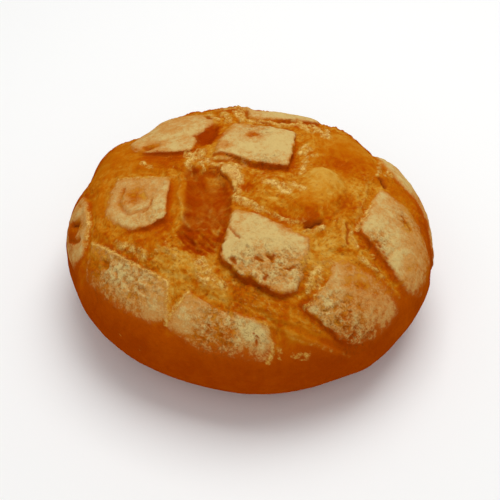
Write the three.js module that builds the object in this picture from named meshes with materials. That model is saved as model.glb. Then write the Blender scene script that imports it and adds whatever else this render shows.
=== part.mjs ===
import * as THREE from "three";
import { mergeVertices } from "three/addons/utils/BufferGeometryUtils.js";

// A round hearth loaf, baked as one piece: a domed crust scored with a crosswise grid of cuts, which
// opened in the oven and left raised tiles of skin between lower bands of torn crust. Millimetres,
// +Z up, the middle of the flat foot at the origin, the front of the loaf towards -Y.

// Driving dimensions of the plain round form.
const MEAN_RADIUS = 110.5; // at the widest level
const WIDEST_LEVEL = 42; // height of the widest level above the table
const DOME_HEIGHT = 50; // from the widest level to the crown
const UNDERSIDE_DEPTH = 60; // how deep the tucked-in underside would reach if the table didn't cut it
const DOME_FULLNESS = 2.25; // exponents of the two rounded profiles: 2 is an ellipse, more is squarer
const UNDERSIDE_FULLNESS = 2.3;
const OVAL = { along: 0.02, across: -0.024, threefold: -0.007 }; // uneven spread of the dough

// Relief of the crust, above or below the plain form.
const TILE_EDGE = 6; // width of the step at the edge of a raised tile
const BAND_SWELL = 1.4; // how far the torn crust swells again in the middle of a wide band
const SWELL_START = 3; // distances from the nearest tile over which that swelling rises
const SWELL_END = 13;
const RELIEF_ENDS = [144, 182]; // distances from the crown over which the relief dies away

const SPHERE_DETAIL = 20; // subdivisions of the starting icosahedron
const CROWN_DENSITY = 0.72; // share of even spacing from crown to foot; the rest crowds the crown
const PROFILE_STEPS = 400;

// The raised floured tiles. Outlines run in crust millimetres from the crown, measured along the skin:
// first number to the right, second number towards the back. Each lift is the height of the tile.
const TILES = [
  { name: "back left", lift: 1.9,
    outline: [[-75, 48], [-70, 35], [-58, 29], [-33, 24], [-30, 46], [-20, 62], [-32, 84], [-62, 86]] },
  { name: "back middle", lift: 3.4,
    outline: [[-9, 59], [20, 52], [32, 46], [25, 6], [13, 7], [-2, 11], [-19, 18], [-18, 34], [-12, 50]] },
  { name: "left", lift: 2.1,
    outline: [[-78, 8], [-45, 0], [-46, -14], [-47, -33], [-66, -38], [-76, -32], [-84, -20], [-82, -4]] },
  { name: "centre", lift: 4,
    outline: [[-9, -31], [8, -35], [34, -49], [28, -82], [22, -86], [8, -83], [-5, -76], [-17, -65]] },
  { name: "right", lift: 2.7,
    outline: [[80, 0], [70, -20], [61, -38], [74, -52], [93, -68], [112, -60], [115, -35], [98, -10]] },
  { name: "far right", lift: 2.1,
    outline: [[84, 40], [88, 24], [98, 15], [110, 8], [118, -8], [132, 10], [120, 44], [97, 56]] },
  { name: "front right", lift: 1.5,
    outline: [[45, -74], [53, -60], [64, -65], [92, -75], [93, -85], [80, -99], [62, -108], [32, -93]] },
  { name: "front", lift: 1.3,
    outline: [[-50, -102], [-33, -85], [-22, -93], [10, -103], [16, -115], [12, -125], [-30, -120]] },
  { name: "front left", lift: 1.4,
    outline: [[-94, -37], [-68, -61], [-46, -77], [-48, -99], [-62, -98], [-80, -85], [-102, -62]] },
  { name: "far left", lift: 1.7,
    outline: [[-119, 1], [-106, 11], [-98, 0], [-96, -20], [-100, -42], [-118, -43], [-128, -20]] },
  { name: "back rim", lift: 2.6, outline: [[0, 68], [-2, 89], [22, 98], [50, 89], [48, 68], [25, 68]] },
  { name: "behind left", lift: 1.5,
    outline: [[-58, 106], [-38, 111], [-13, 113], [-9, 132], [-28, 140], [-56, 134]] },
  { name: "behind right", lift: 1.5,
    outline: [[8, 114], [38, 110], [62, 102], [72, 118], [54, 132], [14, 138]] },
  { name: "right rear", lift: 1.5,
    outline: [[96, 78], [114, 58], [130, 62], [126, 88], [108, 106], [88, 98]] },
  { name: "left rear", lift: 1.5,
    outline: [[-114, 58], [-99, 80], [-82, 100], [-98, 116], [-124, 98], [-134, 72]] },
];

// Places where the crust tore deeper or blew up, as outlines with a rise over a soft edge.
const HOLLOWS_AND_BUBBLES = [
  { name: "blistered hollow", rise: -5.2,
    outline: [[-37, 7], [-18, 6], [-9, -12], [-9, -30], [-18, -63], [-28, -64], [-38, -58], [-40, -46]] },
  { name: "rear hollow", rise: -3.4, outline: [[-33, 40], [-21, 62], [-17, 54], [-21, 31], [-29, 32]] },
  { name: "smooth bubble", rise: 3.2,
    outline: [[31, 0], [37, 7], [49, 9], [57, -4], [58, -12], [48, -33], [36, -39], [16, -20]] },
];
const HOLLOW_EDGE = [-2, 7]; // distances inside the outline over which it reaches its depth or height

// Soft swellings (positive rise) and dips (negative rise) of the dough.
const SWELLINGS = [
  { name: "crest of the bubble", at: [45, 0], radius: 8, rise: 1.8 },
  { name: "dough in front of the bubble", at: [35, -27], radius: 9, rise: 1.4 },
  { name: "dough left of the bubble", at: [13, -14], radius: 11, rise: 1.6 },
  { name: "right shoulder", at: [62, 40], radius: 24, rise: 2.5 },
  { name: "left shoulder", at: [-84, 30], radius: 20, rise: 2 },
  { name: "swelling of the back left tile", at: [-50, 76], radius: 16, rise: 1.4 },
  { name: "left shoulder, behind", at: [-98, 60], radius: 12, rise: 1.4 },
  { name: "gap behind the left shoulder", at: [-76, 77], radius: 11, rise: -4 },
  { name: "gap behind the right shoulder", at: [87, 60], radius: 14, rise: -4.6 },
  { name: "bump on the back rim", at: [-5, 90], radius: 8, rise: 2.4 },
  { name: "dip on the left rim", at: [-110, 34], radius: 18, rise: -5 },
  { name: "right side", at: [130, -40], radius: 18, rise: 0.8 },
  { name: "front right side", at: [92, -116], radius: 26, rise: 2.4 },
  { name: "front", at: [4, -148], radius: 34, rise: 3.4 },
  { name: "front, right of the middle", at: [48, -146], radius: 22, rise: 1.8 },
  { name: "front left side", at: [-80, -112], radius: 26, rise: 0.8 },
  { name: "left side", at: [-124, -40], radius: 15, rise: -1.4 },
];

// Distance from the crown along the skin to each point of a half profile, with its radius and height.
function walkProfile() {
  const points = [];
  for (let i = 0; i <= PROFILE_STEPS; i++) {
    const t = ((1 - i / PROFILE_STEPS) * Math.PI) / 2;
    const radius = MEAN_RADIUS * Math.cos(t) ** (2 / DOME_FULLNESS);
    points.push([radius, WIDEST_LEVEL + DOME_HEIGHT * Math.sin(t) ** (2 / DOME_FULLNESS)]);
  }
  for (let i = 1; i <= PROFILE_STEPS; i++) {
    const t = ((i / PROFILE_STEPS) * Math.PI) / 2;
    const height = WIDEST_LEVEL - UNDERSIDE_DEPTH * Math.sin(t) ** (2 / UNDERSIDE_FULLNESS);
    if (height <= 0) break;
    points.push([MEAN_RADIUS * Math.cos(t) ** (2 / UNDERSIDE_FULLNESS), height]);
  }
  points.push([points.at(-1)[0] - 1, 0], [0, 0]); // the flat foot
  let travelled = 0;
  return points.map(([radius, height], i) => {
    if (i > 0) travelled += Math.hypot(radius - points[i - 1][0], height - points[i - 1][1]);
    return { travelled, radius, height };
  });
}

const profile = walkProfile();
const SKIN_LENGTH = profile.at(-1).travelled; // from the crown, over the edge, to the middle of the foot

// A point of the plain form, from its distance along the skin and its bearing.
function plainPoint(distance, bearing) {
  const clamped = THREE.MathUtils.clamp(distance, 0, SKIN_LENGTH);
  const next = Math.max(1, profile.findIndex((p) => p.travelled >= clamped));
  const [a, b] = [profile[next - 1], profile[next]];
  const f = (clamped - a.travelled) / (b.travelled - a.travelled);
  const spread =
    1 +
    OVAL.along * Math.cos(2 * bearing) +
    OVAL.across * Math.sin(2 * bearing) +
    OVAL.threefold * Math.sin(3 * bearing);
  const radius = THREE.MathUtils.lerp(a.radius, b.radius, f) * spread;
  const height = THREE.MathUtils.lerp(a.height, b.height, f);
  return new THREE.Vector3(radius * Math.cos(bearing), radius * Math.sin(bearing), height);
}

function plainNormal(distance, bearing) {
  const step = 0.5;
  const angle = step / Math.max(distance, 10);
  const down = plainPoint(distance + step, bearing).sub(plainPoint(distance - step, bearing));
  const round = plainPoint(distance, bearing + angle).sub(plainPoint(distance, bearing - angle));
  return down.cross(round).normalize();
}

// Distance of a crust point inside an outline; negative outside.
function depthInside(outline, u, v) {
  let nearest = Infinity;
  let inside = false;
  outline.forEach(([ax, ay], i) => {
    const [bx, by] = outline[(i + 1) % outline.length];
    const along = ((u - ax) * (bx - ax) + (v - ay) * (by - ay)) / ((bx - ax) ** 2 + (by - ay) ** 2);
    const t = THREE.MathUtils.clamp(along, 0, 1);
    nearest = Math.min(nearest, Math.hypot(u - ax - t * (bx - ax), v - ay - t * (by - ay)));
    if (ay > v !== by > v && u < ax + ((v - ay) / (by - ay)) * (bx - ax)) inside = !inside;
  });
  return inside ? nearest : -nearest;
}

// Height of the crust above the plain form at a crust point.
function relief(u, v) {
  const { smoothstep } = THREE.MathUtils;
  let height = 0;
  let gap = Infinity;
  for (const tile of TILES) {
    const depth = depthInside(tile.outline, u, v);
    height += tile.lift * smoothstep(depth, -TILE_EDGE / 2, TILE_EDGE / 2);
    gap = Math.min(gap, -depth);
  }
  height += BAND_SWELL * smoothstep(gap, SWELL_START, SWELL_END);
  for (const { outline, rise } of HOLLOWS_AND_BUBBLES) {
    height += rise * smoothstep(depthInside(outline, u, v), ...HOLLOW_EDGE);
  }
  for (const { at, radius, rise } of SWELLINGS) {
    const reach = Math.hypot(u - at[0], v - at[1]) / radius;
    height += rise * Math.exp(-reach * reach);
  }
  return height * (1 - smoothstep(Math.hypot(u, v), ...RELIEF_ENDS));
}

// The loaf starts as an icosphere. Each of its points keeps its bearing, and its angle from the top
// becomes a distance along the skin, more closely spaced at the crown than on the foot.
function loafGeometry() {
  const sphere = new THREE.IcosahedronGeometry(1, SPHERE_DETAIL);
  sphere.deleteAttribute("normal");
  sphere.deleteAttribute("uv");
  const geometry = mergeVertices(sphere);
  const position = geometry.getAttribute("position");
  const point = new THREE.Vector3();
  for (let i = 0; i < position.count; i++) {
    point.fromBufferAttribute(position, i).normalize();
    const share = Math.acos(THREE.MathUtils.clamp(point.z, -1, 1)) / Math.PI;
    const distance = SKIN_LENGTH * (CROWN_DENSITY * share + (1 - CROWN_DENSITY) * share ** 3);
    const bearing = Math.atan2(point.y, point.x);
    const height = relief(distance * Math.cos(bearing), distance * Math.sin(bearing));
    const surface = plainPoint(distance, bearing);
    if (height !== 0) surface.addScaledVector(plainNormal(distance, bearing), height);
    position.setXYZ(i, surface.x, surface.y, surface.z);
  }
  geometry.computeBoundingBox();
  const middle = geometry.boundingBox.getCenter(new THREE.Vector3());
  geometry.translate(-middle.x, -middle.y, 0);
  geometry.computeVertexNormals();
  return geometry;
}

const crust = new THREE.MeshStandardMaterial({ color: 0xb5701d, roughness: 0.75, metalness: 0 });

const loaf = new THREE.Mesh(loafGeometry(), crust);
loaf.name = "loaf";

const group = new THREE.Group();
group.add(loaf);

export default group;
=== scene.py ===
"""A round scored sourdough loaf: the finished crust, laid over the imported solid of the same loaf."""

import math

import bpy
import numpy as np
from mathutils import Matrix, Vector, noise


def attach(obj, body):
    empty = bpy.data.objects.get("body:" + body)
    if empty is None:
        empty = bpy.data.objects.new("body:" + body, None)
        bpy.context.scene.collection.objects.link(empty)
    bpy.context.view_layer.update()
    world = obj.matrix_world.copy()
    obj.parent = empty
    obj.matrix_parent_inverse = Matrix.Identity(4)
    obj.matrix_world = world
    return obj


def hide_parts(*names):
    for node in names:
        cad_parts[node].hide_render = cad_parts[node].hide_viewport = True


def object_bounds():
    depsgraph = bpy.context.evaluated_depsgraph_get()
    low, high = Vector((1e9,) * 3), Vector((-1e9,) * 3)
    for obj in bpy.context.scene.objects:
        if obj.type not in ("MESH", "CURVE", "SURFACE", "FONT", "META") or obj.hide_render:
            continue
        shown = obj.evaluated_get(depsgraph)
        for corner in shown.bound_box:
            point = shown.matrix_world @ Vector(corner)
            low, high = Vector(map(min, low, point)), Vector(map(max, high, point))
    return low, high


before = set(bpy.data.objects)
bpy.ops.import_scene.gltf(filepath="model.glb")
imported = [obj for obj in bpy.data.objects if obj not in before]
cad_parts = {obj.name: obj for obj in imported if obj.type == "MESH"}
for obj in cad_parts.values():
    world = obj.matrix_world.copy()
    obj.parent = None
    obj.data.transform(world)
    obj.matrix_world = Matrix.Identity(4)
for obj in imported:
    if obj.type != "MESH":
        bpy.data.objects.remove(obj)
solid_low, solid_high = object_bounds()

# ---------------------------------------------------------------------------------------------------
# The ball of dough: one lump, baked free on a hearth as a single piece. It spread into a slightly
# uneven round, domed above and tucked in below, flat where it lay. Lengths below are in millimetres,
# and every place on the crust is given along the skin from the crown: to the right, then backwards.

MILLIMETRE = 0.001
solid_width = (solid_high.x - solid_low.x) / MILLIMETRE
solid_height = (solid_high.z - solid_low.z) / MILLIMETRE
mean_radius = 0.4838 * solid_width
widest_level = 0.4395 * solid_height
dome_height = 0.523 * solid_height
underside_depth = 0.628 * solid_height  # reached only if the hearth didn't cut it off
dome_fullness, underside_fullness = 2.25, 2.3  # 2 is an ellipse, more is squarer
even_share = 0.84  # of the mesh's spacing along the skin; the rest crowds it towards the crown

quarter_turn = np.linspace(0, math.pi / 2, 600)
dome_radius = mean_radius * np.cos(quarter_turn[::-1]) ** (2 / dome_fullness)
dome_level = widest_level + dome_height * np.sin(quarter_turn[::-1]) ** (2 / dome_fullness)
tuck_radius = mean_radius * np.cos(quarter_turn) ** (2 / underside_fullness)
tuck_level = widest_level - underside_depth * np.sin(quarter_turn) ** (2 / underside_fullness)
tuck_radius, tuck_level = tuck_radius[tuck_level > 0], tuck_level[tuck_level > 0]
profile_radius = np.concatenate([dome_radius, tuck_radius[1:], [tuck_radius[-1] - 0.5, 0]])
profile_level = np.concatenate([dome_level, tuck_level[1:], [0, 0]])
across, along = np.diff(profile_radius, prepend=0), np.diff(profile_level, prepend=profile_level[0])
profile_travel = np.cumsum(np.hypot(across, along))
skin_length = profile_travel[-1]
foot_edge = profile_travel[-2]


def smoothstep(low, high, value):
    """0 below low, 1 above high, smooth between."""
    t = np.clip((value - low) / (high - low), 0, 1)
    return t * t * (3 - 2 * t)


def swell(offset, width):
    """1 where offset is 0, falling away softly over about a width on either side."""
    return np.exp(-((offset / width) ** 2))


def plain_form(distance, bearing):
    """Points of the smooth round form, from their distance along the skin and their bearing."""
    oval = 0.02 * np.cos(2 * bearing) - 0.024 * np.sin(2 * bearing)
    lopsided = -0.007 * np.sin(3 * bearing)
    spread = 1 + oval + lopsided
    radius = np.interp(distance, profile_travel, profile_radius) * spread
    level = np.interp(distance, profile_travel, profile_level)
    level = level + 0.7 * swell(distance - foot_edge, 3.5)  # softens the rim of the foot
    return np.stack([radius * np.cos(bearing), radius * np.sin(bearing), level], axis=-1)


def outward(distance, bearing):
    """Unit normals of the smooth round form."""
    distance = np.clip(distance, 1, skin_length - 1)  # the two poles have no bearing
    turn = 0.5 / np.maximum(distance, 10)
    downwards = plain_form(distance + 0.5, bearing) - plain_form(distance - 0.5, bearing)
    around = plain_form(distance, bearing + turn) - plain_form(distance, bearing - turn)
    normal = np.cross(downwards, around)
    return normal / np.linalg.norm(normal, axis=-1, keepdims=True)


# The mesh: a cube of 128 by 128 squares a side, blown up into a ball and laid along the skin.
bpy.ops.object.select_all(action="DESELECT")
bpy.ops.mesh.primitive_cube_add(size=2)
loaf = bpy.context.object
loaf.name = loaf.data.name = "loaf_crust"
bpy.ops.object.mode_set(mode="EDIT")
bpy.ops.mesh.select_all(action="SELECT")
bpy.ops.mesh.subdivide(number_cuts=31)
bpy.ops.mesh.subdivide(number_cuts=3)
bpy.ops.object.mode_set(mode="OBJECT")

crust_mesh = loaf.data
points = np.empty(len(crust_mesh.vertices) * 3)
crust_mesh.vertices.foreach_get("co", points)
points = np.tan(points.reshape(-1, 3) * math.pi / 4)  # evens out the squares of the ball
points /= np.linalg.norm(points, axis=1, keepdims=True)
share = np.arccos(np.clip(points[:, 2], -1, 1)) / math.pi
distance = skin_length * (even_share * share + (1 - even_share) * share**3)
bearing = np.arctan2(points[:, 1], points[:, 0])
right = distance * np.cos(bearing)
back = distance * np.sin(bearing)

# ---------------------------------------------------------------------------------------------------
# The scoring: the skin was floured and slashed crosswise before baking. The cuts opened in the oven
# and left tiles of the first skin standing on the dough that pushed up between them. A tile's edge
# stands sharp and lifted on the side that tore away, and runs softly into the dough on the other.


def grain(places, size, layers=1, shift=0.0):
    """Noise from -1 to 1 at places in millimetres, with features of about one size."""
    scaled = np.asarray(places) / size + shift
    if layers == 1:
        return np.array([noise.noise(p) for p in scaled])
    return np.array([noise.fractal(p, 0.8, 2.1, layers) for p in scaled])


def rounded(outline):
    """The outline with its corners cut twice, by a millimetre or two."""
    corners = np.array(outline, float)
    for most in (1.6, 0.8):
        side = np.roll(corners, -1, axis=0) - corners
        cut = np.minimum(0.3, most / np.linalg.norm(side, axis=1, keepdims=True)) * side
        corners = np.stack([corners + cut, corners + side - cut], 1).reshape(-1, 2)
    return corners


def depth_inside(outline, u, v):
    """Distance in from the edge of an outline; negative outside it."""
    nearest = np.full(u.shape, 1e9)
    inside = np.zeros(u.shape, bool)
    for (ax, ay), (bx, by) in zip(outline, np.roll(outline, -1, axis=0)):
        t = np.clip(((u - ax) * (bx - ax) + (v - ay) * (by - ay)) / ((bx - ax) ** 2 + (by - ay) ** 2), 0, 1)
        nearest = np.minimum(nearest, np.hypot(u - ax - t * (bx - ax), v - ay - t * (by - ay)))
        if ay != by:
            inside ^= ((ay > v) != (by > v)) & (u < ax + (v - ay) / (by - ay) * (bx - ax))
    return np.where(inside, nearest, -nearest)


# Each tile: its outline, its lift, the bearing in degrees towards which its edge stands free, how
# sharp the edge stays on the far side, how ragged it is, how thick its flour is, and by what share
# that flour thins out towards the far side, if not by 0.3. The last four go from 0 to about 1.
TILES = {
    "back left": dict(
        outline=[(-75, 48), (-70, 35), (-58, 29), (-46, 25), (-33, 24), (-31, 36), (-30, 46), (-20, 62),
                 (-32, 84), (-62, 86)],
        lift=1.5, free=-85, sharp=0.3, ragged=0.3, flour=0.8),
    "back middle": dict(
        outline=[(-9, 59), (5, 57), (20, 52), (32, 46), (29, 28), (25, 6), (13, 7), (-2, 11), (-19, 18),
                 (-18, 34), (-12, 50)],
        lift=3.0, free=-60, sharp=0.6, ragged=0.9, flour=0.95),
    "left": dict(
        outline=[(-78, 8), (-62, 4), (-45, 0), (-46, -14), (-47, -33), (-57, -38), (-66, -38), (-76, -32),
                 (-84, -20), (-82, -4)],
        lift=1.7, free=-35, sharp=0.6, ragged=0.7, flour=0.86, thinned=0.15),
    "centre": dict(
        outline=[(-9, -31), (8, -35), (34, -49), (35, -52), (31, -68), (28, -82), (22, -86), (8, -83),
                 (-5, -76), (-17, -65), (-12, -50)],
        lift=3.6, free=-125, sharp=0.8, ragged=1.2, flour=0.9),
    "torn flap": dict(
        outline=[(-17, 8), (-8, 9), (-3, 5), (-3, -4), (-6, -7), (-7, -15), (-10, -7), (-13, 1)],
        lift=1.4, free=-150, sharp=0.6, ragged=1.1, flour=0.3),
    "lip of the back middle tile": dict(
        outline=[(-21, 18), (-10, 16), (-1, 11), (0, 6), (-8, 10), (-18, 13)],
        lift=1.0, free=-120, sharp=0.4, ragged=0.6, flour=0.5),
    "right": dict(
        outline=[(80, 0), (70, -20), (61, -38), (74, -52), (93, -68), (114, -64), (119, -38), (98, -10)],
        lift=2.4, free=-160, sharp=0.3, ragged=0.9, flour=0.78, thinned=0.5),
    "far right": dict(
        outline=[(84, 40), (88, 24), (98, 15), (110, 8), (117, -8), (121, -28), (130, -34), (134, -8),
                 (133, 12), (120, 44), (97, 56)],
        lift=1.8, free=-150, sharp=0.4, ragged=0.4, flour=0.84),
    "front right": dict(
        outline=[(45, -74), (47, -63), (53, -60), (64, -65), (92, -75), (93, -85), (80, -99), (62, -108),
                 (48, -102), (32, -93)],
        lift=1.2, free=-150, sharp=0.3, ragged=1.0, flour=0.76, thinned=0.5),
    "front": dict(
        outline=[(-50, -102), (-41, -92), (-33, -85), (-22, -93), (-5, -99), (10, -103), (16, -115),
                 (12, -125), (-30, -120)],
        lift=1.2, free=75, sharp=0.4, ragged=1.0, flour=0.62, thinned=0.7),
    "front left": dict(
        outline=[(-94, -37), (-78, -51), (-68, -61), (-46, -77), (-48, -99), (-62, -98), (-80, -85),
                 (-102, -62)],
        lift=1.2, free=50, sharp=0.4, ragged=1.0, flour=0.56, thinned=0.7),
    "far left": dict(
        outline=[(-119, 1), (-106, 11), (-98, 0), (-96, -20), (-100, -42), (-118, -43), (-128, -20)],
        lift=1.4, free=0, sharp=0.3, ragged=0.5, flour=0.72),
    "back rim": dict(
        outline=[(0, 68), (-2, 89), (22, 98), (50, 89), (48, 68), (38, 70), (25, 68), (12, 66)],
        lift=2.2, free=-80, sharp=0.3, ragged=0.4, flour=0.9),
    "behind left": dict(
        outline=[(-66, 104), (-50, 109), (-34, 112), (-14, 113), (-7, 124), (-10, 140), (-30, 147),
                 (-54, 143), (-68, 126)],
        lift=1.2, free=-75, sharp=0.4, ragged=1.1, flour=0.9, thinned=0.5),
    "behind right": dict(
        outline=[(8, 115), (26, 112), (42, 108), (62, 101), (74, 114), (70, 130), (48, 140), (24, 145),
                 (6, 134)],
        lift=1.2, free=-110, sharp=0.4, ragged=1.1, flour=0.9, thinned=0.5),
    "right rear": dict(
        outline=[(97, 78), (108, 66), (116, 56), (134, 60), (140, 78), (128, 98), (108, 112), (89, 102)],
        lift=1.2, free=-140, sharp=0.4, ragged=1.1, flour=0.85, thinned=0.5),
    "left rear": dict(
        outline=[(-115, 56), (-99, 80), (-85, 99), (-92, 114), (-108, 118), (-128, 104), (-141, 78),
                 (-132, 60)],
        lift=1.2, free=-40, sharp=0.4, ragged=1.1, flour=0.85, thinned=0.5),
}
for tile in TILES.values():
    tile["edge"] = rounded(tile["outline"])
    tile["middle"] = np.mean(tile["outline"], axis=0)

still = plain_form(distance, bearing)
ragged_u, ragged_v = (
    1.4 * grain(still, 9, shift=a) + 1.0 * grain(still, 4, shift=b) + 0.8 * grain(still, 2.3, shift=c)
    for a, b, c in ((11, 23, 5), (37, 41, 9)))


def depth_in_tile(tile, u, v):
    """Distance in from a tile's ragged edge; negative on the dough beside it."""
    return depth_inside(tile["edge"], u + tile["ragged"] * ragged_u, v + tile["ragged"] * ragged_v)


def nearest_tile_edge(u, v):
    return np.max([depth_in_tile(tile, u, v) for tile in TILES.values()], axis=0)


# The mesh is drawn together along the tiles' edges, so that they can stand sharp.
EDGE_REACH, EDGE_PULL, NUDGE = 3.2, 1.6, 0.4
LOWEST_PULLED = 150  # further down the sides the edges run out softly, and the mesh stays even
gap = nearest_tile_edge(right, back)
slope_u = (nearest_tile_edge(right + NUDGE, back) - gap) / NUDGE
slope_v = (nearest_tile_edge(right, back + NUDGE) - gap) / NUDGE
steepness = np.maximum(np.hypot(slope_u, slope_v), 0.5)
pulled = np.sign(gap) * EDGE_REACH * np.abs(gap / EDGE_REACH) ** EDGE_PULL
shift = np.where(np.abs(gap) < EDGE_REACH, pulled - gap, 0) * (distance < LOWEST_PULLED)
right = right + shift * slope_u / steepness**2
back = back + shift * slope_v / steepness**2
distance, bearing = np.hypot(right, back), np.arctan2(back, right)
still = plain_form(distance, bearing)
normal = outward(distance, bearing)


def spots(places):
    """The sum of soft round spots, each with its place, radius and strength."""
    total = np.zeros(len(right))
    for place, radius, strength in places.values():
        total += strength * np.exp(-((right - place[0]) ** 2 + (back - place[1]) ** 2) / radius**2)
    return total


height = np.zeros(len(right))  # of the crust above the plain form
ledge = np.zeros((len(right), 2))  # how far a lifted edge is pushed out over the dough beside it
flour = np.zeros(len(right))
edge_gap = np.full(len(right), -1e9)
edge_sharpness = np.zeros(len(right))
for tile in TILES.values():
    gap = depth_in_tile(tile, right, back)
    away = np.stack([right, back], 1) - tile["middle"]
    size = np.abs(tile["outline"] - tile["middle"]).max()
    free = np.array([math.cos(math.radians(tile["free"])), math.sin(math.radians(tile["free"]))])
    facing = np.clip(away @ free / size, -1, 1)
    freed = smoothstep(-0.1, 0.7, facing)
    sharp = tile["sharp"] + (1 - tile["sharp"]) * freed
    step = 0.6 + 4.0 * (1 - sharp)
    top = smoothstep(-step, step, gap) * (0.35 + 0.65 * smoothstep(-1, 0.8, facing))
    crown = 0.5 * smoothstep(0, 16, gap)
    lip = 0.1 * tile["lift"] * freed * swell(gap - 1.5, 2.5)
    undercut = (0.2 + 0.2 * tile["lift"]) * sharp * freed * swell(gap + 1.3, 1.7)
    height += tile["lift"] * top + crown + lip - undercut
    over = 0.16 * tile["lift"] * freed * smoothstep(-0.1, 0.6, gap) * (1 - smoothstep(1, 5, gap))
    ledge += over[:, None] * free
    thinned = tile.get("thinned", 0.3) * smoothstep(0.1, -0.9, facing)
    fray = 1.1 + 2.4 * (1 - sharp) + 6 * thinned
    top_gap = gap - 0.9 * sharp * freed  # no flour on the torn wall below a sharp edge
    flour = np.maximum(flour, tile["flour"] * (1 - thinned) * smoothstep(-fray, 1.3 * fray, top_gap))
    edge_sharpness = np.where(gap > edge_gap, sharp * freed, edge_sharpness)
    edge_gap = np.maximum(edge_gap, gap)

# The dough between the tiles: it swelled through the cuts, so it rises again in the middle of a wide
# band. It stretched smooth in some places and tore in others, in thin layers that run along the cut.
smooth_skin = np.minimum(1, smoothstep(104, 122, distance) + spots({
    "left shoulder": ((-90, 36), 26, 1.1),
    "beside the far left tile": ((-91, -8), 11, 0.8),
    "between the left tiles": ((-60, 17), 12, 0.7),
    "right shoulder": ((66, 34), 24, 1.1),
    "bubble": ((45, -4), 14, 0.9),
    "between the right tiles": ((98, 3), 12, 0.8),
    "blistered hollow": ((-26, -20), 20, 0.8),
    "left of the hollow": ((-42, -14), 8, 0.8),
    "dough in front of the bubble": ((34, -24), 11, 0.7),
    "front slash": ((28, -104), 12, 0.4),
    "below the left tile": ((-58, -42), 8, 0.5),
}))
band = smoothstep(0, 3, -edge_gap) * (1 - smoothstep(112, 134, distance)) * (1 - 0.85 * smooth_skin)
layers = grain(np.stack([edge_gap / 1.3, right / 14, back / 14], 1), 1.0, 2, 5)
torn = grain(still, 5.5, 3, 61)
ridges = (1 - np.abs(grain(still, 4.2, 2, 55))) ** 3 - 0.5
height += 1.4 * smoothstep(3, 13, -edge_gap) + band * (0.6 * layers + 1.0 * torn + 0.6 * ridges)

# ---------------------------------------------------------------------------------------------------
# What the oven did besides: a deep blistered hollow left of the middle, a smaller one between the
# rear tiles, a smooth bubble right of the middle, swellings and gaps in the outline, flaps and crumbs
# of torn skin, folds, cracks and a few holes where steam escaped.

blisters = np.array([noise.voronoi(p / 6.5)[0][0] for p in still])  # 0 at the middle of each blister
HOLLOWS = {
    "blistered hollow": dict(
        outline=[(-37, 6), (-33, 11), (-30, 8), (-27, 3), (-23, 6), (-18, 6), (-13, -2), (-9, -12), (-9, -30),
                 (-12, -46), (-18, -63), (-28, -64), (-38, -58), (-41, -46), (-37, -33), (-36, -14)],
        depth=4.8, blistered=2.6),
    "rear hollow": dict(
        outline=[(-33, 40), (-21, 62), (-17, 54), (-21, 31), (-29, 32)], depth=3.4, blistered=0.3),
}
hollow = np.zeros(len(right))
for dent in HOLLOWS.values():
    gap = depth_inside(rounded(dent["outline"]), right + 0.7 * ragged_u, back + 0.7 * ragged_v)
    inside = smoothstep(-1.2, 2, gap)
    height += -dent["depth"] * smoothstep(-1.5, 6, gap) + dent["blistered"] * inside * (0.55 - blisters)
    hollow = np.maximum(hollow, inside)
flour *= 1 - hollow
low_in_hollow = hollow * smoothstep(-36, -46, back)  # here the hollow's floor breaks into layers
streaks = grain(np.stack([(right + back) / 5, (right - back) / 16, 0 * back], 1), 1.0, 2, 8)
height += low_in_hollow * 1.2 * streaks

bubble = depth_inside(
    rounded([(31, 0), (37, 7), (43, 10), (49, 9), (54, 4), (57, -4), (58, -12), (55, -22), (48, -33),
             (36, -39), (22, -34), (16, -20), (22, -6)]), right + 0.4 * ragged_u, back + 0.4 * ragged_v)
height += 3.2 * smoothstep(-1, 13, bubble) - 0.8 * swell(bubble + 1.5, 2) * smoothstep(-25, 0, back)

height += spots({
    "crest of the bubble": ((45, 0), 8, 1.8),
    "dough in front of the bubble": ((35, -27), 9, 1.4),
    "dough left of the bubble": ((13, -14), 11, 1.6),
    "dip behind the bubble": ((52, 17), 9, -1.4),
    "dip left of the bubble": ((28, 0), 6, -1.2),
    "dip beside the flap": ((0, -10), 6, -1.8),
    "right shoulder": ((62, 40), 24, 2.5),
    "left shoulder": ((-84, 30), 20, 2.0),
    "back left tile": ((-50, 76), 16, 1.4),
    "left shoulder, behind": ((-98, 60), 12, 1.4),
    "gap behind the left shoulder": ((-76, 77), 11, -4.0),
    "gap behind the right shoulder": ((87, 60), 14, -4.6),
    "bump on the back rim": ((-5, 90), 8, 2.4),
    "dip on the left rim": ((-110, 34), 18, -5.0),
    "right side": ((130, -40), 18, 0.8),
    "front right side": ((92, -116), 26, 2.4),
    "front": ((4, -148), 34, 3.4),
    "front, right of the middle": ((48, -146), 22, 1.8),
    "front left side": ((-80, -112), 26, 0.8),
    "left side": ((-124, -40), 15, -1.4),
    "left rim": ((-125, 12), 12, -1.2),
    "dimple in the left tile": ((-65, -12), 9, -1.6),
    "dimple in the back left tile": ((-60, 37), 6, -1.4),
    "dimple in the back middle tile": ((3, 42), 7, -0.9),
    "dent in the far left tile": ((-109, -18), 9, -2.2),
})


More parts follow.
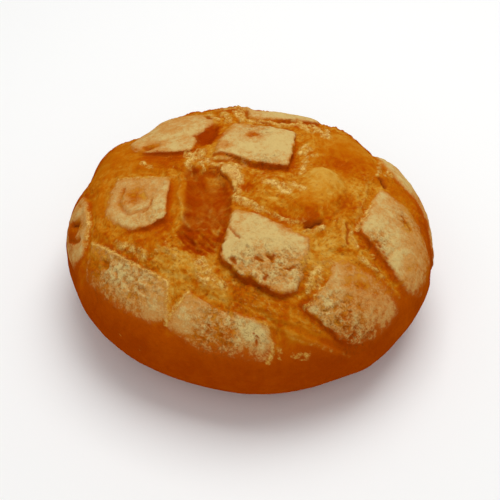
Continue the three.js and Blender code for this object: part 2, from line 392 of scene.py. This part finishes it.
def beside(line, u, v):
    """Distance from a line of points, the way gone along it and the side it is passed on, -1 or 1."""
    nearest, along, side = np.full(u.shape, 1e9), np.zeros(u.shape), np.ones(u.shape)
    gone = 0.0
    for (ax, ay), (bx, by) in zip(line, line[1:]):
        t = np.clip(((u - ax) * (bx - ax) + (v - ay) * (by - ay)) / ((bx - ax) ** 2 + (by - ay) ** 2), 0, 1)
        off_u, off_v = u - ax - t * (bx - ax), v - ay - t * (by - ay)
        closer = np.hypot(off_u, off_v) < nearest
        nearest = np.where(closer, np.hypot(off_u, off_v), nearest)
        along = np.where(closer, gone + t * math.hypot(bx - ax, by - ay), along)
        side = np.where(closer, np.sign((bx - ax) * off_v - (by - ay) * off_u), side)
        gone += math.hypot(bx - ax, by - ay)
    return nearest, along, side


# Torn skin, left in flaps, strands and crumbs: the line of each, its half width, how high it stands
# and how solid it is; well below 1 it lies in shreds.
TORN_SKIN = [
    ([(-35, 22), (-33, 16), (-34, 10)], 2.6, 1.5, 0.9),
    ([(-29, 24), (-28, 17), (-27, 11)], 3.4, 1.5, 0.7),
    ([(-27, 10), (-26, 5)], 1.2, 1.4, 0.9),
    ([(-23, 16), (-22, 10)], 2.0, 1.7, 1.0),
    ([(-17, 9), (-11, 8), (-6, 6)], 2.6, 1.8, 0.9),
    ([(-12, 4), (-7, 1), (-5, -4)], 3.2, 1.6, 1.4),
    ([(-7, -6), (-7, -13), (-6, -21)], 2.4, 1.8, 0.9),
    ([(-6, -23), (1, -26), (8, -30)], 2.2, 1.5, 0.8),
    ([(12, -31), (20, -35), (28, -38)], 1.4, 1.2, 0.7),
    ([(33, -44), (38, -42), (42, -41)], 1.8, 1.3, 0.9),
    ([(-27, -66), (-24, -69)], 2.0, 1.2, 0.9),
    ([(-47, -56), (-42, -60)], 2.6, 0.9, 0.5),
    ([(12, -9), (18, -11), (22, -16)], 2.8, 1.2, 1.1),
    ([(26, -10), (30, -15)], 2.2, 0.9, 0.9),
    ([(32, 3), (34, 10)], 1.5, 1.2, 0.9),
    ([(35, 13), (37, 20)], 1.3, 1.2, 0.8),
    ([(33, 23), (35, 30)], 1.5, 1.3, 0.9),
    ([(37, 33), (39, 27), (36, 24)], 1.3, 1.2, 0.9),
    ([(40, 20), (43, 22)], 1.3, 1.2, 0.9),
    ([(42, 62), (44, 54), (50, 46)], 2.6, 1.6, 0.8),
    ([(52, 56), (52, 43)], 1.6, 1.5, 1.0),
    ([(36, 56), (42, 49)], 2.0, 1.2, 0.7),
    ([(2, 64), (14, 62), (30, 60), (38, 60)], 2.8, 1.6, 0.9),
    ([(30, 70), (40, 64), (50, 60)], 2.6, 1.4, 0.9),
    ([(-18, 86), (-12, 89), (-2, 84)], 3.4, 1.2, 0.8),
    ([(-1, 66), (-4, 76), (0, 88)], 2.4, 1.2, 0.8),
    ([(-28, 80), (-24, 73), (-20, 67)], 2.6, 1.5, 0.8),
    ([(-17, 76), (-14, 70), (-13, 62)], 2.4, 1.7, 0.7),
    ([(-7, 80), (-7, 74), (-4, 64)], 2.6, 1.6, 0.8),
    ([(-63, 18), (-61, 14), (-57, 12)], 1.3, 1.0, 0.8),
    ([(-99, -6), (-97, -16), (-97, -26), (-100, -36)], 1.6, 1.2, 0.8),
    ([(-76, -45), (-68, -50), (-60, -57)], 2.6, 0.9, 0.7),
    ([(-52, -55), (-46, -59)], 2.6, 0.8, 0.5),
    ([(-28, -68), (-26, -76)], 3.0, 0.9, 0.7),
    ([(-22, -72), (-22, -79), (-15, -83)], 3.0, 1.0, 0.8),
    ([(47, -62), (40, -66), (36, -71), (34, -82)], 1.8, 1.3, 0.9),
    ([(41, -71), (39, -77), (41, -81)], 1.5, 1.0, 0.8),
    ([(63, -57), (70, -61), (77, -64)], 1.6, 0.9, 0.7),
    ([(29, -118), (36, -118)], 2.2, 0.6, 0.6),
    ([(19, -115), (20, -121)], 1.2, 0.6, 0.5),
    ([(80, -1), (70, -20), (61, -37)], 1.1, 0.6, 0.9),
    ([(45, -75), (38, -84), (33, -93)], 0.8, 0.5, 0.7),
    ([(-86, -97), (-86, -100)], 0.9, 0.3, 0.35),
    ([(-73, -109), (-74, -112)], 0.8, 0.2, 0.3),
    ([(80, 12), (83, 24), (87, 34)], 1.6, 1.0, 0.6),
    ([(86, 14), (90, 22)], 1.8, 1.0, 0.5),
]
# Thin ridges where the skin was drawn out or turned up at a cut: the line of each, its height, how
# much paler it baked and how much flour and crumb it holds.
RIDGES = [
    ([(-2, -101), (14, -104), (30, -107), (48, -111), (66, -114)], 0.8, 0.16, 0.12),
    ([(24, -108), (34, -110), (46, -112), (56, -114)], 0.6, 0.14, 0.16),
    ([(20, -109), (17, -115), (15, -123)], 0.6, 0.12, 0),
    ([(30, -99), (44, -104), (58, -109)], 0.5, 0.08, 0),
    ([(12, -99), (28, -101), (44, -106)], 0.5, 0.08, 0),
    ([(8, -95), (22, -97), (36, -100)], 0.4, 0.06, 0),
    ([(-94, -37), (-78, -51), (-68, -61), (-46, -77)], 1.0, 0.1, 0.9),
    ([(-46, -77), (-47, -88), (-49, -98)], 1.0, 0.1, 0.8),
    ([(-50, -101), (-41, -91), (-33, -84)], 0.7, 0, 0.8),
    ([(10, -103), (15, -115), (13, -124)], 0.8, 0, 0.8),
    ([(-78, 9), (-62, 5), (-46, 1)], 0.4, 0, 0.6),
    ([(53, -33), (53, -42), (53, -50)], 0.6, 0.1, 0.3),
    ([(57, -36), (58, -44), (60, -50)], 0.7, 0.1, 0.6),
    ([(49, -24), (47, -34), (47, -44)], 0.6, 0.1, 0),
    ([(40, -26), (41, -36), (43, -48)], 0.5, 0.1, 0),
    ([(62, -8), (63, -18), (60, -28)], 0.6, 0.12, 0.2),
    ([(70, -2), (67, -14), (62, -26)], 0.6, 0.1, 0.2),
    ([(-39, 2), (-40, -14), (-38, -26), (-38, -34)], 0.6, 0.12, 0.2),
    ([(64, -58), (78, -66), (90, -72)], 0.6, 0.1, 0.2),
    ([(-42, -68), (-34, -72), (-28, -72)], 0.7, 0.1, 0.1),
    ([(-52, -52), (-44, -58), (-38, -66)], 0.6, 0.1, 0.1),
    ([(-38, -31), (-36, -39), (-30, -43), (-24, -42)], 0.8, 0.2, 0.15),
    ([(-28, -10), (-26, -19), (-22, -28)], 0.5, 0.15, 0),
    ([(-16, -28), (-15, -38), (-17, -46)], 0.6, 0.18, 0),
    ([(-37, -44), (-30, -52), (-26, -60)], 0.9, 0.1, 0),
    ([(-28, -42), (-24, -52), (-20, -60)], 0.9, 0.1, 0),
    ([(-20, 20), (-11, 17), (-3, 13)], 0.7, 0, 0.6),
    ([(-19, 15), (-12, 13), (-6, 11)], 0.7, 0, 0.8),
]
crumbling = np.array([noise.voronoi(p / 3)[0][0] for p in still + 1.2 * np.stack([torn] * 3, 1)])
crumb = 0.25 * (1 - hollow) * band * smoothstep(0.0, 0.35, ridges)
crumb *= smoothstep(-0.3, 0.3, grain(still, 11, 2, 27))  # in patches
for number, (line, half_width, rise, solid) in enumerate(TORN_SKIN):
    away, along, side = beside(line, right + 0.9 * ragged_u, back + 0.9 * ragged_v)
    near = away < 2 * half_width
    strands = np.zeros(len(right))
    strands[near] = grain(np.stack([side * away / 2, along / 6, 0 * along], 1)[near], 1.0, 2, 3 * number)
    here = smoothstep(half_width * 1.7, half_width * 0.4, away)
    height += rise * here * (0.8 + 0.7 * strands - 0.9 * crumbling)
    crumb = np.maximum(crumb, here * (solid + 0.4 * strands - 0.5 * smoothstep(0.3, 0.8, crumbling)))
drawn = np.zeros(len(right))
for line, rise, pale, floured in RIDGES:
    here = swell(beside(line, right + 0.5 * ragged_u, back + 0.5 * ragged_v)[0], 1.2)
    height += rise * here
    drawn = np.maximum(drawn, pale * here)
    crumb = np.maximum(crumb, floured * here)

# Folds, cracks and holes: the line of each, its half width, its depth and how dark the painted shade inside
# it is.
CRACKS = [
    ([(-22, 6), (-19, 7), (-15, 2), (-12, -3)], 0.6, 1.7, 0.85),
    ([(-12, -3), (-10, -8), (-9, -13)], 0.6, 1.0, 0.5),
    ([(-20, 19), (-11, 16), (-5, 12)], 0.9, 1.0, 0.5),
    ([(-18, 13), (-11, 12), (-4, 9)], 0.7, 0.9, 0.5),
    ([(-67, 31), (-58, 27), (-46, 24)], 0.8, 0.8, 0.5),
    ([(57, -10), (56, -18), (51, -26), (47, -31)], 1.7, 1.0, 0.2),
    ([(53, -14), (52, -20), (48, -25)], 1.1, 0.6, 0.15),
    ([(60, -12), (59, -22)], 1.2, 0.6, 0.2),
    ([(33, -40), (37, -38.5), (41, -37)], 1.5, 2.4, 0.8),
    ([(55, -35), (56, -42), (55, -49)], 0.7, 1.2, 0.6),
    ([(81, 10), (83, 5)], 1.6, 2.6, 0.8),
    ([(-113, -10), (-109, -13), (-106, -15)], 1.7, 3.2, 0.8),
    ([(-117, -20), (-110, -26), (-104, -30)], 1.6, 1.4, 0.4),
    ([(-10, -46), (-7, -50), (-4, -53)], 0.8, 1.0, 0.35),
    ([(11, -64), (13, -65), (15, -63)], 1.0, 1.3, 0.7),
    ([(5, -67), (7, -68)], 1.0, 1.0, 0.6),
    ([(-9, -67), (-7, -70)], 0.9, 1.0, 0.6),
    ([(20, -71), (26, -69)], 0.7, 1.0, 0.6),
    ([(10, -79), (12, -77)], 0.9, 0.9, 0.6),
    ([(70, -44), (74, -47)], 0.9, 1.1, 0.6),
    ([(75, -50), (79, -53)], 0.8, 0.9, 0.5),
    ([(91, -19), (96, -25)], 0.9, 0.7, 0.4),
    ([(3, -108), (6, -111), (5, -115)], 0.7, 0.8, 0.5),
    ([(-64, 38), (-60, 35)], 1.6, 1.0, 0.5),
    ([(-74, -2), (-76, -12), (-74, -20), (-68, -25), (-61, -25), (-57, -20)], 1.3, 1.2, 0.2),
    ([(-59, -24), (-57, -20), (-56, -16)], 0.8, 0.6, 0.3),
    ([(-49, -4), (-54, -8), (-58, -14)], 1.4, 0.9, 0.1),
    ([(-63, -27), (-62, -31)], 0.7, 0.5, 0.2),
    ([(-33, 43), (-30, 40)], 1.2, 1.2, 0.5),
    ([(6, 65), (15, 60)], 1.3, 1.4, 0.5),
    ([(14, 57), (24, 55), (29, 51)], 1.1, 1.2, 0.5),
    ([(20, 66), (34, 67)], 1.3, 1.2, 0.5),
    ([(39, 68), (43, 60)], 1.4, 1.4, 0.5),
    ([(-28, 75), (-24, 68)], 1.1, 1.2, 0.5),
    ([(-1, 80), (0, 68)], 1.1, 1.2, 0.4),
]
crack = np.zeros(len(right))
for line, half_width, depth, dark in CRACKS:
    away = beside(line, right + 0.8 * ragged_u, back + 0.8 * ragged_v)[0]
    here = swell(away, half_width)
    height -= depth * here
    crack = np.maximum(crack, dark * here)
crumb -= crack

# Small unevenness: lumps in the dough, and flour that crumbled into flakes in places.
floury = smoothstep(0.2, 0.6, flour)
crumbled = np.clip(0.1 + spots({
    "centre tile": ((2, -74), 15, 0.9),
    "centre tile, right": ((24, -68), 11, 0.9),
    "centre tile, back": ((4, -45), 14, 0.2),
    "front right tile": ((46, -92), 13, 1.0),
    "front right tile, low": ((66, -100), 11, 0.9),
    "front tile": ((-18, -107), 14, 1.2),
    "front tile, right": ((6, -112), 9, 0.45),
    "front left tile": ((-64, -74), 17, 0.75),
    "front left tile, left": ((-84, -60), 14, 0.9),
    "back middle tile": ((10, 10), 10, 0.6),
    "back middle tile, back": ((6, 50), 12, 0.5),
    "right tile": ((72, -44), 9, 0.8),
    "right tile, back": ((92, -20), 9, 0.5),
    "left tile": ((-52, -30), 8, 0.5),
}), 0, 1)
flakes = grain(still, 3.4, 2, 71)
height += 0.9 * grain(still, 42, 2, 3) + 0.3 * grain(still, 14, 2, 9)
height += floury * (0.3 + 0.7 * crumbled) * flakes - floury * crumbled * 0.6 * smoothstep(0.2, 0.5, -flakes)
height += 0.6 * floury * crumbled * grain(still, 7, 2, 29)

# The relief dies away towards the foot, which lies flat but for shallow pits.
height *= 1 - smoothstep(foot_edge - 40, foot_edge - 2, distance)
points = still + normal * height[:, None]
side_step = np.pad(ledge, ((0, 0), (0, 1)))
side_step -= normal * np.sum(side_step * normal, axis=1, keepdims=True)
points += side_step
pits = smoothstep(0.25, 0.6, grain(still, 9, 3, 91)) * smoothstep(foot_edge, foot_edge + 12, distance)
points[:, 2] = np.maximum(points[:, 2] + 0.5 * pits, 0)

middle = (points.min(axis=0) + points.max(axis=0)) / 2
points[:, :2] -= middle[:2]
crust_mesh.vertices.foreach_set("co", (points * MILLIMETRE).ravel())
crust_mesh.update()
bpy.ops.object.mode_set(mode="EDIT")
bpy.ops.mesh.select_all(action="SELECT")
bpy.ops.mesh.normals_make_consistent(inside=False)
bpy.ops.object.mode_set(mode="OBJECT")
bpy.ops.object.shade_smooth()

# ---------------------------------------------------------------------------------------------------
# The crust laid out flat for its finish: the dome and the sides as one round sheet about the crown,
# parted low on the sides, and the underside as a smaller sheet in the corner beside it, seen from
# below.

PARTING = 160  # millimetres along the skin from the crown
DOME_MIDDLE, DOME_RADIUS, UNDER_MIDDLE, UNDER_RADIUS = 0.44, 0.43, 0.855, 0.135  # shares of the sheet
corners = np.empty(len(crust_mesh.loops), np.int32)
crust_mesh.loops.foreach_get("vertex_index", corners)
beneath = np.repeat(distance[corners].reshape(-1, 4).mean(axis=1) > PARTING, 4)
dome_sheet = DOME_MIDDLE + DOME_RADIUS * np.stack([right, back], 1) / PARTING
inwards = (skin_length - distance) / (skin_length - PARTING)
under_sheet = np.stack([-inwards * np.cos(bearing), inwards * np.sin(bearing)], 1)
under_sheet = UNDER_MIDDLE + UNDER_RADIUS * under_sheet
laid_out = np.where(beneath[:, None], under_sheet[corners], dome_sheet[corners])
crust_mesh.uv_layers.new(name="OFBake").uv.foreach_set("vector", laid_out.astype(np.float32).ravel())

# ---------------------------------------------------------------------------------------------------
# The bake: the crust is pale gold where the dough opened late, orange where it was stretched thin,
# and dark brown low on the sides. Painted shade is laid into the same values, just below lifted tile
# edges and the bubble. These are kept on the mesh for the finish below.

browning = 0.35 + 0.56 * smoothstep(94, 132, distance + 5 * np.sin(bearing)) + spots({
    "left shoulder": ((-82, 24), 12, 0.1),
    "left shoulder, outer": ((-94, 18), 12, -0.08),
    # painted shade below the back left tile's front edge
    "between the left tiles": ((-46, 17), 8, 0.35),
    "behind the left tile": ((-60, 20), 9, 0.12),
    # painted shade below the back left tile's front edge
    "under the back left tile": ((-56, 25), 8, 0.2),
    "left of the hollow": ((-42, -14), 7, 0.04),
    "burst blister": ((-68, -9), 8, 0.1),
    "spot on the back middle tile": ((4, 41), 7, 0.3),
    "right shoulder front": ((64, 16), 13, 0.2),
    "right shoulder": ((60, 42), 12, -0.06),
    "behind the bubble": ((52, 15), 8, 0.2),
    "bump on the back rim": ((-12, 86), 7, 0.35),
    "rear hollow": ((-26, 46), 8, 0.95),
    "side of the right tile": ((117, -48), 17, -0.3),
    "side of the front right tile": ((106, -84), 15, -0.22),
    "left of the front left tile": ((-112, -58), 12, -0.1),
    "beside the bubble": ((57, -17), 6, 0.3),
    # painted shade in the crease under the bubble
    "under the bubble": ((35, -34), 6, 0.5),
    "left of the bubble": ((14, 0), 7, 0.1),
    "dough left of the bubble": ((18, -14), 10, -0.14),
    "beside the flap": ((0, -10), 5, 0.34),
    "behind the centre tile": ((20, -39), 6, 0.2),
    # painted shade below the left tile's front corner
    "in front of the left tile": ((-48, -37), 5, 0.4),
    "front left band": ((-42, -72), 16, -0.22),
    "behind the front left tile": ((-66, -46), 12, 0.14),
    "front right band": ((44, -54), 12, -0.2),
    "left of the right tile": ((64, -8), 9, -0.18),
    # painted shade below the right tile's lower edge
    "under the right tile": ((78, -60), 8, 0.16),
    # painted shade below the centre tile's front edge
    "under the centre tile": ((0, -84), 8, 0.08),
    "band before the centre tile": ((4, -94), 10, -0.06),
    "front band": ((22, -105), 10, 0.12),
    "behind the back middle tile": ((24, 62), 9, 0.1),
    "right rim band": ((104, 2), 8, 0.14),
})
browning -= 0.10 * smoothstep(foot_edge - 20, foot_edge + 10, distance)
browning -= 0.3 * smoothstep(-1, 5, bubble) * smoothstep(-30, 6, back) * smoothstep(16, 36, right)
browning += low_in_hollow * (0.25 - 0.5 * streaks)
browning += band * (0.2 * layers + 0.12 * torn - 0.16 * ridges)
browning -= drawn
# painted shade: a dark brown band just below each sharp lifted tile edge, where its shadow falls
browning += 0.38 * edge_sharpness * swell(edge_gap + 0.6, 1.7)

reddened = hollow * (1.05 * (1 - low_in_hollow * (0.2 + 0.7 * streaks)) + 0.7 * (blisters - 0.5))
reddened += spots({
    "middle of the hollow": ((-25, -29), 6, -0.3),
    "behind in the hollow": ((-20, -2), 6, -0.7),
    "left in the hollow": ((-34, -18), 8, 0.35),
    "low in the hollow": ((-24, -50), 8, -0.2),
    "right in the hollow": ((-14, -30), 6, 0.3),
    "left rim of the hollow": ((-41, -12), 4, -0.3),
})
browning += hollow * spots({
    "left in the hollow": ((-33, -14), 8, 0.2),
    "behind in the hollow": ((-20, -2), 6, -0.15),
    "middle of the hollow": ((-24, -30), 6, -0.1),
})

flour += floury * spots({  # thicker, or below zero rubbed, burst or baked away
    "back middle tile": ((4, 41), 5, -0.8),
    "back middle tile, left": ((-13, 27), 7, -0.5),
    "back middle tile, front": ((14, 9), 8, -0.25),
    "back left tile": ((-61, 37), 6, -0.6),
    "back left tile, right": ((-34, 54), 7, 0.2),
    "back left tile, middle": ((-47, 56), 8, -0.25),
    "back left tile, front": ((-52, 33), 8, -0.3),
    "back left tile, left": ((-68, 44), 8, -0.25),
    "left tile, burst blister": ((-68, -9), 8.5, -0.72),
    "left tile, beside the blister": ((-61, -12), 6, -0.3),
    "left tile, back": ((-60, 0), 9, -0.1),
    "left tile, right": ((-52, -10), 7, -0.15),
    "left tile, front": ((-64, -34), 10, -0.12),
    "centre tile": ((4, -40), 12, 0.2),
    "centre tile, back right": ((22, -52), 10, 0.2),
    "centre tile, middle": ((14, -66), 6, -0.3),
    "centre tile, front": ((12, -82), 12, -0.3),
    "centre tile, right": ((29, -66), 7, -0.2),
    "front right tile": ((62, -75), 12, -0.4),
    "front right tile, low": ((52, -96), 12, -0.3),
    "front right tile, right": ((84, -81), 6, 0.3),
    "right tile": ((96, -20), 12, -0.2),
    "right tile, low": ((102, -52), 14, -0.25),
    "front tile": ((-17, -108), 10, -0.45),
    "front tile, left": ((-36, -95), 8, 0.1),
    "front tile, right": ((4, -109), 9, 0.55),
    "front left tile": ((-72, -68), 12, 0.25),
    "front left tile, right": ((-52, -84), 8, 0.15),
    "front left tile, left": ((-94, -54), 12, -0.45),
    "far left tile": ((-110, -18), 10, -0.7),
    "far left tile, back": ((-107, 3), 8, -0.4),
    "far left tile, front": ((-120, -32), 10, 0.06),
    "far right tile": ((108, 20), 14, 0.1),
})
baked_off = 0.7 * smoothstep(100, 130, distance + 6 * np.sin(bearing))
flour *= 1 - baked_off * (1 - spots({
    "far left tile, front": ((-122, -32), 14, 1.0),
    "far right tile, front": ((126, -12), 20, 0.8),
    "behind left tile": ((-36, 122), 26, 0.7),
    "behind right tile": ((40, 120), 28, 0.7),
    "right rear tile": ((114, 78), 24, 0.6),
    "left rear tile": ((-110, 86), 24, 0.6),
}))
flour += 0.3 * floury * grain(still, 10, 2, 33) - crack
flour -= 0.35 * floury * crumbled * smoothstep(0.1, 0.5, -flakes)

for name, values in {
    "flour": flour, "crumb": crumb, "browning": browning, "reddened": np.clip(reddened, 0, 1),
    "crack": crack, "smooth_skin": smooth_skin, "crumbled": crumbled,
}.items():
    kept = crust_mesh.attributes.new(name=name, type="FLOAT", domain="POINT")
    kept.data.foreach_set("value", values.astype(np.float32))

# ---------------------------------------------------------------------------------------------------
# The finish of the crust: dull baked starch that is even on the smooth brown sides and blotchy where
# it tore, under wheat flour that is chalky where thick and tan where it baked thin.

BAKED_STARCH = [  # how brown, and the colour there
    (0.0, (0.60, 0.32, 0.05)),
    (0.2, (0.53, 0.21, 0.014)),
    (0.4, (0.47, 0.125, 0.002)),
    (0.62, (0.41, 0.068, 0.0006)),
    (0.95, (0.31, 0.04, 0.0003)),
]
DARK_SPECK = (0.26, 0.05, 0.002, 1)
BLISTER_RED = (0.31, 0.033, 0.0003, 1)
SHREDDED_SKIN = (0.56, 0.285, 0.045, 1)
OPEN_CRUMB = (0.74, 0.49, 0.14, 1)
SHADE_BETWEEN_SHREDS = (0.36, 0.06, 0.002, 1)
UNDER_FLOUR = (0.48, 0.20, 0.04, 1)
THIN_FLOUR = (0.56, 0.26, 0.062, 1)
THICK_FLOUR = (0.62, 0.435, 0.155, 1)
FLAKED_OFF = (0.44, 0.13, 0.012, 1)
CRACK_EDGE_SHADE = (0.36, 0.068, 0.003, 1)
CRACK_DEPTH_SHADE = (0.10, 0.014, 0.001, 1)


class Wire:
    """A socket of the crust's nodes. Arithmetic on wires adds Math nodes."""

    def __init__(self, socket):
        self.socket = socket

    @staticmethod
    def node(kind, settings=(), inputs=(), output=0):
        made = crust_nodes.new(kind)
        for name, value in dict(settings).items():
            if name == "stops":
                stops = made.color_ramp.elements
                while len(stops) < len(value):
                    stops.new(0.5)
                for stop, (position, colour) in zip(stops, value):
                    stop.position, stop.color = position, (*colour, 1)
            else:
                setattr(made, name, value)
        for name, value in dict(inputs).items():
            if isinstance(value, Wire):
                crust_links.new(value.socket, made.inputs[name])
            else:
                made.inputs[name].default_value = value
        return Wire(made.outputs[output])

    def math(self, operation, *values, clamp=False):
        inputs = dict(enumerate((self, *values)))
        return Wire.node("ShaderNodeMath", {"operation": operation, "use_clamp": clamp}, inputs)

    def __add__(self, other):
        return self.math("ADD", other)

    def __sub__(self, other):
        return self.math("SUBTRACT", other)

    def __rsub__(self, other):
        return Wire.node("ShaderNodeMath", {"operation": "SUBTRACT"}, {0: other, 1: self})

    def __mul__(self, other):
        return self.math("MULTIPLY", other)

    __radd__, __rmul__ = __add__, __mul__

    def step(self, low, high):
        """0 below low, 1 above high, smooth between."""
        settings = {"interpolation_type": "SMOOTHSTEP"}
        return Wire.node("ShaderNodeMapRange", settings, {"Value": self, "From Min": low, "From Max": high})

    def mix(self, first, second):
        """The first colour where this wire is 0, the second where it is 1."""
        inputs = {"Factor": self, 6: first, 7: second}
        return Wire.node("ShaderNodeMix", {"data_type": "RGBA"}, inputs, 2)


def kept_on_mesh(name):
    return Wire.node("ShaderNodeAttribute", {"attribute_name": name}, output="Fac")


def mottle(size, detail, roughness, distortion=0.0):
    """Noise from about 0.3 to 0.7 with features of a size in millimetres."""
    inputs = {"Vector": place, "Scale": 1 / (size * MILLIMETRE), "Detail": detail}
    inputs |= {"Roughness": roughness, "Distortion": distortion}
    return Wire.node("ShaderNodeTexNoise", inputs=inputs)


crust = bpy.data.materials.new("baked_floured_crust")
crust.use_nodes = True
crust_nodes, crust_links = crust.node_tree.nodes, crust.node_tree.links
place = Wire.node("ShaderNodeTexCoord", output="Object")
marbling, fine, powder = mottle(9, 4, 0.6, 0.8), mottle(3.0, 4, 0.65), mottle(0.9, 3, 0.6)
flour, crumb, crumbled = kept_on_mesh("flour"), kept_on_mesh("crumb"), kept_on_mesh("crumbled")
uneven = 1 - 0.65 * kept_on_mesh("smooth_skin")

clouds = mottle(26, 3, 0.6, 0.5)
brown_and_shade = kept_on_mesh("browning") + ((marbling - 0.5) * 1.0 + (fine - 0.5) * 0.6) * uneven
brown_and_shade = brown_and_shade + (clouds - 0.5) * 0.4
baked = Wire.node("ShaderNodeValToRGB", {"stops": BAKED_STARCH}, {"Fac": brown_and_shade})
specks = mottle(2.1, 3, 0.7, 0.3).step(0.56, 0.68) * uneven
baked = (specks * 0.6).mix(baked, DARK_SPECK)
reddened = (kept_on_mesh("reddened") * (0.75 + (marbling - 0.5) * 1.3)).math("MULTIPLY", 1.0, clamp=True)
baked = reddened.mix(baked, BLISTER_RED)
crumbs = crumb + ((fine - 0.5) * 2.0 + (powder - 0.5) * 0.8) * crumb.step(0, 0.3)
baked = (crumbs.step(0.05, 0.55) * 0.85).mix(baked, SHREDDED_SKIN)
baked = (crumbs.step(0.45, 1.1) * 0.95).mix(baked, OPEN_CRUMB)
veins = (mottle(3.4, 3, 0.6, 0.6) - 0.5).math("ABSOLUTE")
# partly the bare crust between torn shreds, partly painted shade: dark brown in the gaps between them
between = (1 - veins.step(0.0, 0.05)) * crumb.step(0.1, 0.5)
baked = (between * 0.6).mix(baked, SHADE_BETWEEN_SHREDS)

baked = (flour.step(0.0, 0.7) * 0.35).mix(baked, UNDER_FLOUR)
loose = flour.step(-0.05, 0.3) * (1 + crumbled * 1.3)
dusting = flour + ((fine - 0.5) * 1.0 + (powder - 0.5) * 0.5 + (marbling - 0.5) * 0.5) * loose
thin_flour = dusting.step(0.1, 0.5)
thick_flour = dusting.step(0.42, 1.05)
dusted = (thin_flour * 0.88).mix(baked, THIN_FLOUR)
dusted = thick_flour.mix(dusted, THICK_FLOUR)

broken = (1 - veins.step(0.0, 0.035)) * mottle(2.4, 3, 0.7).step(0.47, 0.56)
broken = broken.math("MAXIMUM", mottle(1.7, 4, 0.7).step(0.58, 0.68))
broken = broken * (crumbled + (marbling - 0.5)).step(0.15, 0.8)
dusted = (broken * 0.55).mix(dusted, FLAKED_OFF)
# painted shade inside the folds, cracks and holes: reddish brown at their edges, near black in their depths
coloured = (kept_on_mesh("crack").step(0.02, 0.45) * 0.85).mix(dusted, CRACK_EDGE_SHADE)
coloured = (kept_on_mesh("crack").step(0.4, 1.0) * 0.9).mix(coloured, CRACK_DEPTH_SHADE)

powdery = thick_flour * 0.5 + thin_flour * 0.5
relief = fine * (0.3 + 0.7 * uneven) + powder * (0.2 + 0.3 * powdery) + marbling * 0.3 - broken * 0.4
bumped = Wire.node("ShaderNodeBump", inputs={"Height": relief, "Strength": 0.8, "Distance": 1.3 * MILLIMETRE})
bsdf = crust_nodes["Principled BSDF"]
bsdf.inputs["Specular IOR Level"].default_value = 0.0
crust_links.new(coloured.socket, bsdf.inputs["Base Color"])
crust_links.new((0.6 + powdery * 0.35).socket, bsdf.inputs["Roughness"])
crust_links.new(bumped.socket, bsdf.inputs["Normal"])
crust_mesh.materials.append(crust)

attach(loaf, "root")
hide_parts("loaf")

# ---------------------------------------------------------------------------------------------------
# The table, the light and the camera: a plain pale surface under soft studio light, seen from the
# front of the loaf and half way up.

bpy.ops.object.select_all(action="DESELECT")
bpy.ops.mesh.primitive_plane_add(size=8)
table = bpy.context.object
table.name = "table_top"
pale = bpy.data.materials.new("plain_pale_table")
pale.use_nodes = True
pale.node_tree.nodes["Principled BSDF"].inputs["Base Color"].default_value = (0.9, 0.9, 0.89, 1)
pale.node_tree.nodes["Principled BSDF"].inputs["Roughness"].default_value = 0.9
table.data.materials.append(pale)


def soft_light(name, position, size, power):
    bpy.ops.object.light_add(type="AREA", location=position)
    light = bpy.context.object
    light.name = name
    light.data.size = size
    light.data.energy = power
    light.rotation_euler = (-Vector(position)).to_track_quat("-Z", "Y").to_euler()


soft_light("overhead_softbox", (0.15, 0.35, 1.2), 0.9, 10.5)
soft_light("front_fill", (-0.3, -1.3, 0.7), 1.6, 5)
room = bpy.data.worlds.new("studio")
bpy.context.scene.world = room
room.use_nodes = True
room.node_tree.nodes["Background"].inputs["Color"].default_value = (1, 1, 1, 1)
room.node_tree.nodes["Background"].inputs["Strength"].default_value = 0.47

CAMERA_ELEVATION, CAMERA_DISTANCE, LENS = math.radians(44), 0.612, 70
looked_at = Vector((0.0013, -0.0048, 0.0356))
backwards = Vector((0, -math.cos(CAMERA_ELEVATION), math.sin(CAMERA_ELEVATION)))
bpy.ops.object.camera_add(location=looked_at + backwards * CAMERA_DISTANCE)
camera = bpy.context.object
camera.rotation_euler = (-backwards).to_track_quat("-Z", "Y").to_euler()
camera.data.lens = LENS
bpy.context.scene.camera = camera
bpy.context.scene.view_settings.view_transform = "Standard"
